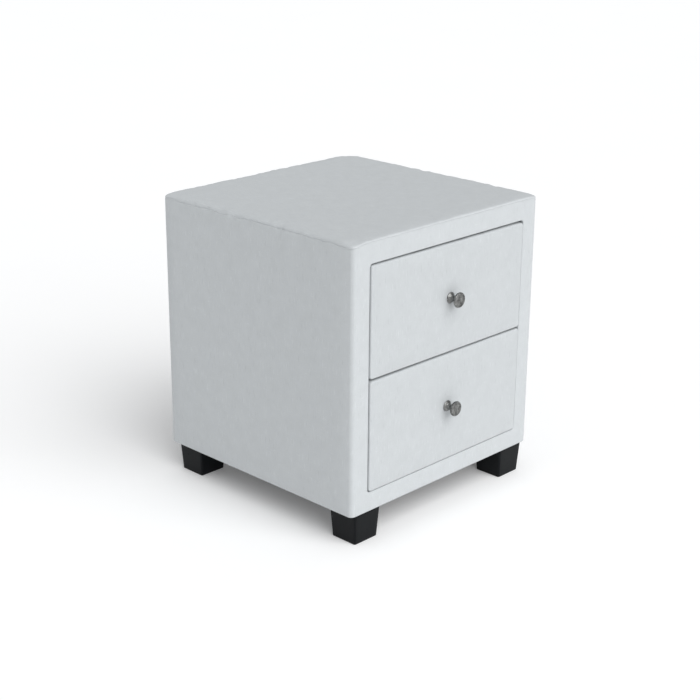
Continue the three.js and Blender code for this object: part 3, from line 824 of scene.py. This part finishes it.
back_y, bottom_z = body_high[1], body_low[2]
lap = 0.0085  # how far the cloths lap over the edges of the fabric
fabric_from = 0.168  # the fabric's turned edges lie past this, from the middle
flap, turned_under = 0.034, 0.031  # how far they come in from the top and from the front
climb = 0.0014, 0.0012  # how far the back cloth and the base cloth rise onto them


def slack(across, along, over_edge, seed):
    """Hills of up to 0.2 mm where the cloth hangs free, and none over the fabric's edges."""
    hills = swell(across + 0 * along, along + 0 * across, 0.035, seed)
    return 0.0001 * (1 + hills) * (1 - over_edge)


cloth_low, cloth_high = corners_of("back_cloth")
x = np.linspace(cloth_low[0] - lap, cloth_high[0] + lap, 90)[None]
z = np.linspace(cloth_low[2] - 0.002, cloth_high[2] + 0.002, 90)[:, None]
over_edge = np.maximum(eased((np.abs(x) - fabric_from) / 0.007),
                       eased((z - top_z + flap) / 0.007))
ragged = 0.0006 * drift(z, 0.03, 62) * np.sign(x) * (np.abs(x) > 0.17)
points = np.dstack(np.broadcast_arrays(
    x + ragged, back_y - 0.0010 + climb[0] * over_edge + slack(x, z, over_edge, 61), z))
back_cloth = net("back_cloth_sheet", points, uv=points[..., [0, 2]], away_from=(0, 0, 0.2))
stretched(back_cloth, 0.0003, spun_bonded, "cabinet", "black_cloth", "back_cloth",
          flat=(0.366, 0.391), rests_on=["back_panel"])

under_low, under_high = corners_of("base_cloth")
x = np.linspace(under_low[0] - lap, under_high[0] + lap, 90)[None]
y = np.linspace(under_low[1] - lap, under_high[1], 90)[:, None]
over_edge = np.maximum(eased((np.abs(x) - fabric_from) / 0.007),
                       eased((body_low[1] + turned_under - y) / 0.006))
points = np.dstack(np.broadcast_arrays(
    x, y, bottom_z + 0.0010 - climb[1] * over_edge - slack(x, y, over_edge, 63)))
base_cloth = net("base_cloth_sheet", points, uv=points[..., :2], away_from=(0, 0, 0.2))
stretched(base_cloth, 0.0002, spun_bonded, "cabinet", "black_cloth", "base_cloth",
          flat=(0.369, 0.376), rests_on=["base_panel"])

for (side, sign), seed in zip(sides, (71, 72)):
    x, y = sign * (cloth_high[0] + 0.004), back_y + 0.0005
    staples(f"back_staples_{side}", "cabinet", [((x, y, 0.07), (x, y, 0.43))], 0.04,
            (0, 1, 0), seed)
for place, y, z, seed in (("top", back_y + 0.0005, cloth_high[2] - 0.004, 73),
                          ("bottom", back_y - 0.0009, cloth_low[2] + 0.005, 74)):
    staples(f"back_staples_{place}", "cabinet", [((-0.16, y, z), (0.16, y, z))], 0.04,
            (0, 1, 0), seed)
front_y, z = body_low[1] + 0.020, bottom_z - 0.0003
for place, start, end, seed in (("left", (-0.180, -0.115, z), (-0.180, 0.130, z), 75),
                                ("right", (0.180, -0.115, z), (0.180, 0.130, z), 76),
                                ("front", (-0.125, front_y, z), (0.125, front_y, z), 77)):
    staples(f"base_staples_{place}", "cabinet", [(start, end)], 0.035, (0, 0, -1), seed)


# ---- Feet ----
# Four square blocks, a little narrower at the floor, lacquered satin black and bolted under the
# base.

lacquer = Finish("satin_black_lacquer", roughness=0.4, Specular_IOR_Level=0.12)
grain = lacquer.grain(420, 420, 30, detail=4)
scuffs = lacquer.step(lacquer.grain(90, detail=5), 0.66, 0.74)
lacquer.colour(grain, (0.002, 0.003, 0.004), (0.006, 0.007, 0.008))
lacquer.set("Roughness", 0.36 + grain * 0.14 + scuffs * 0.2)
lacquer.bump(grain, 0.00008)


def foot(name):
    """
    Rounded squares carried upwards. The half width goes evenly from the sole to the top, and
    both rims are softened by a quarter turn.
    """
    low, high = corners_of(name)
    middle, half_top, half_sole = ((low + high) / 2)[:2], (high - low)[0] / 2, 0.023
    soft, top = 0.0012, high[2]
    core, outward = loop((half_top, half_top), 0.003, 0.006)
    turn = np.linspace(0, np.pi / 2, 5)
    height = np.concatenate([soft * (1 - np.cos(turn)), np.linspace(soft, top - soft, 12)[1:-1],
                             top - soft * (1 - np.sin(turn))])
    inset = np.concatenate([soft * (1 - np.sin(turn)), np.zeros(10), soft * (1 - np.cos(turn))])
    width = half_sole + (half_top - half_sole) * height / top
    outline = drawn_in(core, outward, 0.003, 0.0)[None] * (width / half_top)[:, None, None]
    outline = outline * (1 - inset / half_top)[:, None, None]
    rows = np.concatenate([outline[:1] * 0.5, outline, outline[-1:] * 0.5]) + middle
    tall = np.concatenate([height[:1], height, height[-1:]])[:, None] + 0 * rows[..., 0]
    return net(name + "_block", np.dstack([rows, tall]), around=True, caps=(0, -1))


for name in ("front_left_foot", "front_right_foot", "back_left_foot", "back_right_foot"):
    finished(foot(name), lacquer, "cabinet", "foot", name)


# ---- Runners ----
# Folded sheet steel, coated with white epoxy that is rubbed where the rollers run. Each is held
# by three screws with low heads.

def turned(profile, columns):
    """
    A profile of (radius, along) points carried round an axis: each row lies at its radius times
    the cosine and the sine, and all at one distance along.
    """
    radius, along = np.array(profile, float).T[:, :, None]
    angle = np.linspace(0, 2 * np.pi, columns, endpoint=False)[None]
    return np.stack([radius * np.cos(angle), radius * np.sin(angle), along + 0 * angle], axis=-1)


def screw_heads(name, places, outward):
    """Low heads with a dished middle, on faces that look along X, in the sense of `outward`."""
    profile = np.array([(3.0, 0), (3.0, 0.25), (2.5, 0.6), (1.5, 0.7), (1.1, 0.3), (0.2, 0.2)])
    shape = turned(profile / 1000, 14)
    faces = quads_of(np.arange(shape[..., 0].size).reshape(shape.shape[:2]), around=True)
    axes = np.zeros((len(places), 3, 3))
    axes[:, 0, 1], axes[:, 1, 2], axes[:, 2, 0] = outward, 1, outward
    return many(name, shape.reshape(-1, 3), faces.reshape(-1, 4).tolist(), places, axes)


epoxy = Finish("white_epoxy_steel", roughness=0.42)
orange_peel = epoxy.grain(600, detail=2)
rubbed = epoxy.step(epoxy.grain(900, 18, 900, detail=4), 0.62, 0.70)
epoxy.colour(rubbed * 0.5, (0.80, 0.80, 0.79), (0.50, 0.50, 0.51))
epoxy.set("Roughness", 0.36 + orange_peel * 0.16)
epoxy.set("Metallic", rubbed * 0.4)
epoxy.bump(orange_peel, 0.00004)

web_face = {"cabinet": 0.1648, "drawer": 0.1545}  # where the screws' heads bear, from the middle
for drawer in drawers:
    for side, sign in sides:
        for part, body, facing in (("cabinet", "cabinet", -1), ("drawer", f"{drawer}_drawer", 1)):
            runner = f"{drawer}_{side}_{part}_runner"
            paint(epoxy, runner)
            low, high = corners_of(runner)
            places = np.array([(sign * web_face[part], low[1] + (high - low)[1] * share,
                                (low + high)[2] / 2) for share in (0.12, 0.5, 0.88)])
            heads = screw_heads(f"{runner}_screws", places, sign * facing)
            finished(heads, zinc, body, "screw")


# ---- Rollers ----
# White nylon discs with a dished face, turning on the pins of the runners. The cabinet's four
# carry the drawers' lips, and the drawers' four run in the cabinet's channels.

def softened(profile, reach=0.3):
    """Rounds each inner corner of a profile with a parabola that starts `reach` of the way."""
    points = np.array(profile, float)
    before = points[1:-1] + (points[:-2] - points[1:-1]) * reach
    after = points[1:-1] + (points[2:] - points[1:-1]) * reach
    t = np.linspace(0, 1, 4)[:, None, None]
    curve = (1 - t) ** 2 * before + 2 * t * (1 - t) * points[1:-1] + t ** 2 * after
    return np.concatenate([points[:1], curve.transpose(1, 0, 2).reshape(-1, 2), points[-1:]])


def roller(name):
    """The rim, the softened edges, the dished faces and the bore, turned about the pin."""
    low, high = corners_of(name)
    radius, half = (high - low)[2] / 2, (high - low)[0] / 2
    bore, hub, dish = 0.0018, 0.0038, 0.0009
    face = [(bore, half), (hub, half), (hub + 0.0004, half - dish), (radius - 0.0026, half - dish),
            (radius - 0.0022, half), (radius, half)]
    profile = softened([(r, -x) for r, x in face] + face[::-1])
    points = turned(profile, 56)[..., [2, 0, 1]] + (low + high) / 2
    return net(name + "_disc", points, around=True, rolled=True)


nylon = Finish("white_nylon", roughness=0.45, Subsurface_Weight=0.1)
cloud = nylon.grain(260, detail=3)
marks = nylon.step(nylon.grain(2400, 500, 500, detail=2), 0.58, 0.75)
nylon.colour(marks * 0.5, (0.80, 0.80, 0.77), (0.60, 0.59, 0.56))
nylon.set("Roughness", 0.38 + cloud * 0.2)

for drawer in drawers:
    for side, sign in sides:
        for part in ("cabinet", "drawer"):
            name = f"{drawer}_{side}_{part}_roller"
            finished(roller(name), nylon, name, "roller", name)


# ---- Drawer boxes ----
# Thin boards faced with a pale wood-grain foil, with the floor let into grooves in the front
# and the sides.

foil = Finish("pale_foil", roughness=0.45)
grain = foil.grain(70, 3.0, 420, detail=5, roughness=0.6, distortion=0.6)
pores = foil.step(foil.grain(300, 14, 2200, detail=2), 0.60, 0.72)
share = foil.step(grain, 0.32, 0.68) - pores * 0.35
foil.colour(share, (0.56, 0.53, 0.49), (0.72, 0.70, 0.66))
foil.set("Roughness", 0.40 + grain * 0.18)
foil.bump(grain - pores * 0.6, 0.00006)

for drawer in drawers:
    paint(foil, f"{drawer}_left_side", f"{drawer}_right_side", f"{drawer}_box_front",
          f"{drawer}_box_back", f"{drawer}_box_floor")


# ---- Drawer fronts ----
# A board with a foam pad on its face, wrapped in the same fabric. The fabric is turned onto the
# back of the board and stapled, and the knob pulls it in.

front_corner, front_edge = 0.0045, 0.0026  # the front's corners, and the edge round its face
knob_foot, knob_hole = 0.0087, 0.0024  # radii of the knob's foot and of the hole for its screw


def front_cover(drawer, knob_z, seed, askew):
    """
    Rows from the screw's hole out to the edge, round it by a quarter turn, back along the
    board, round its rear edge and in over its back. The face rises to a crown and dips at the
    knob, with small gathers that run out from it. `askew` is the slope at which it all hangs.
    """
    low, high = corners_of(f"{drawer}_front_cover")
    centre, half = ((low + high) / 2)[[0, 2]], ((high - low) / 2)[[0, 2]]
    knob_at = np.array([0, knob_z]) - centre
    core, outward = loop(half, front_corner, 0.0028)
    steps = np.linalg.norm(np.diff(drawn_in(core, outward, front_corner, 0.0), axis=0), axis=1)
    along = np.concatenate([[0], np.cumsum(steps)])
    turn = np.linspace(0, np.pi / 2, 7)
    face_rim = drawn_in(core, outward, front_corner, np.array([[front_edge]]))[0]
    shares = np.concatenate([np.linspace(0, 0.2, 16)[:-1], np.linspace(0.2, 0.9, 26)[:-1],
                             np.linspace(0.9, 1, 8)])
    face = spokes(face_rim, knob_at, knob_hole, shares)
    back, rear_roll, rear_turn = high[1] - low[1], 0.0015, 0.016
    inset = np.concatenate([front_edge * (1 - np.sin(turn[1:])), np.zeros(5),
                            rear_roll * (1 - np.cos(turn[1:])),
                            np.linspace(rear_roll, rear_turn, 6)[1:]])[:, None]
    deep = np.concatenate([front_edge * (1 - np.cos(turn[1:])),
                           np.linspace(front_edge, back - rear_roll, 6)[1:],
                           back - rear_roll * (1 - np.sin(turn[1:])), np.full(5, back)])[:, None]
    uneven = 0.00035  # how far the edges wander
    wobble = uneven * drift(along, 0.024, seed) * np.sin(np.clip(deep / back, 0, 1) * np.pi)
    rim = drawn_in(core, outward, front_corner, inset - wobble)

    edge = (half - np.abs(face)).min(axis=-1)
    from_knob = face - knob_at
    reach = np.linalg.norm(from_knob, axis=-1)
    bearing = np.arctan2(from_knob[..., 1], from_knob[..., 0])
    flat_half = half - front_edge
    crown_at = rise_of(2 * flat_half[0], 2 * flat_half[1], 0.0014, seed + 7,
                       held=(knob_at[0], knob_at[1], knob_foot))
    share = 0.5 + face / (2 * flat_half)
    crown = crown_at(share[..., 0], share[..., 1])
    gather_high, gather_long, wave_high, ripple_high = 0.0006, 0.009, 0.0002, 0.00018
    gathers = drift(bearing, 0.26, seed + 1) * drift(bearing, 0.7, seed + 2)
    gathers = (gathers * gather_high * np.exp(-((reach - knob_foot) / gather_long) ** 2)
               * (reach > 0.004))
    wave = wave_high * swell(face[..., 0], face[..., 1], 0.04, seed + 3) * eased(edge / 0.02)
    rise = crown + (gathers + wave) * (reach >= knob_foot)
    ripple = ripple_high * drift(along, 0.018, seed + 4) * np.exp(-edge / 0.006)
    points = np.zeros((len(shares) + len(deep), len(core), 3))
    points[..., [0, 2]] = np.concatenate([face, rim]) + centre
    points[..., 1] = low[1] + np.concatenate([-rise - ripple, deep - ripple[-1] * (deep < 0.006)])
    points[..., 2] -= askew * points[..., 0]
    beyond = deep + inset * (deep >= back)
    uv = np.concatenate([face, face_rim + outward * beyond[..., None]])
    return net(f"{drawer}_front_cloth", points, uv=uv + np.array([4.0, knob_z]), around=True)


front_weave = woven_finish("linen_look_weave_of_the_fronts")
for drawer, seed, askew in (("upper", 81, 0.0026), ("lower", 91, 0.0)):
    body, front = f"{drawer}_drawer", f"{drawer}_front"
    knob_low, knob_high = corners_of(f"{drawer}_knob")
    knob_z = (knob_low + knob_high)[2] / 2
    foam_sheet(f"{front}_foam", body, thin=1, outer=-1, radius=0.0035, feather=0.0035,
               hole=((0, knob_z), knob_hole))
    stretched(front_cover(drawer, knob_z, seed, askew), fabric_thick, front_weave, body,
              "fabric", f"{front}_cover", flat=(0.407, 0.242),
              rests_on=[f"{front}_foam_sheet", f"{front}_board"])

    low, high = corners_of(f"{front}_cover")
    in_x, in_z, y, spacing = 0.010, 0.009, high[1] + 0.0001, 0.032
    staples(f"{front}_staples_level", body,
            [((low[0] + 0.02, y, z), (high[0] - 0.02, y, z))
             for z in (low[2] + in_z, high[2] - in_z)], spacing, (0, 1, 0), seed + 5)
    staples(f"{front}_staples_upright", body,
            [((x, y, low[2] + 0.03), (x, y, high[2] - 0.03))
             for x in (low[0] + in_x, high[0] - in_x)], spacing, (0, 1, 0), seed + 6)


# ---- Knobs ----
# Cast spool knobs, plated in satin nickel: a round foot, a narrow waist and a wider disc with a
# dished face. One screw from inside the drawer holds each.

nickel = Finish("satin_nickel", roughness=0.3, metallic=1.0)
speckle = nickel.grain(700, detail=3, roughness=0.6)
cast = nickel.grain(190, detail=2)
brushed = nickel.grain(2600, 300, 2600, detail=2)
share = nickel.step(speckle * 0.45 + cast * 0.55, 0.36, 0.66)
nickel.colour(share, (0.085, 0.086, 0.084), (0.29, 0.292, 0.286))
nickel.set("Roughness", 0.24 + brushed * 0.20)
nickel.bump(cast * 0.7 + brushed * 0.3, 0.00018)


def knob(name):
    """The spool's profile, from the foot out to the middle of the face, turned along Y."""
    low, high = corners_of(name)
    radius, long = (high - low)[0] / 2, (high - low)[1]
    profile = [(2.4, 0), (9.0, 0), (9.3, 0.8), (7.2, 2.6), (5.4, 4.8), (4.7, 8.0), (5.6, 11.4),
               (8.6, 14.0), (12.0, 15.6), (12.5, 16.8), (12.5, 18.3), (11.5, 19.7), (9.5, 18.9),
               (4.0, 18.3), (0.3, 18.1)]
    scale = np.array([radius / 0.0125, long / 0.0197]) / 1000
    rows = turned(softened(np.array(profile) * scale, reach=0.42), 72)
    centre = np.array([(low + high)[0] / 2, high[1], (low + high)[2] / 2])
    points = np.stack([rows[..., 0], -rows[..., 2], rows[..., 1]], axis=-1) + centre
    return net(name + "_spool", points, around=True, caps=(0, -1))


for drawer in drawers:
    finished(knob(f"{drawer}_knob"), nickel, f"{drawer}_drawer", "knob", f"{drawer}_knob")
    paint(zinc, f"{drawer}_knob_screw")
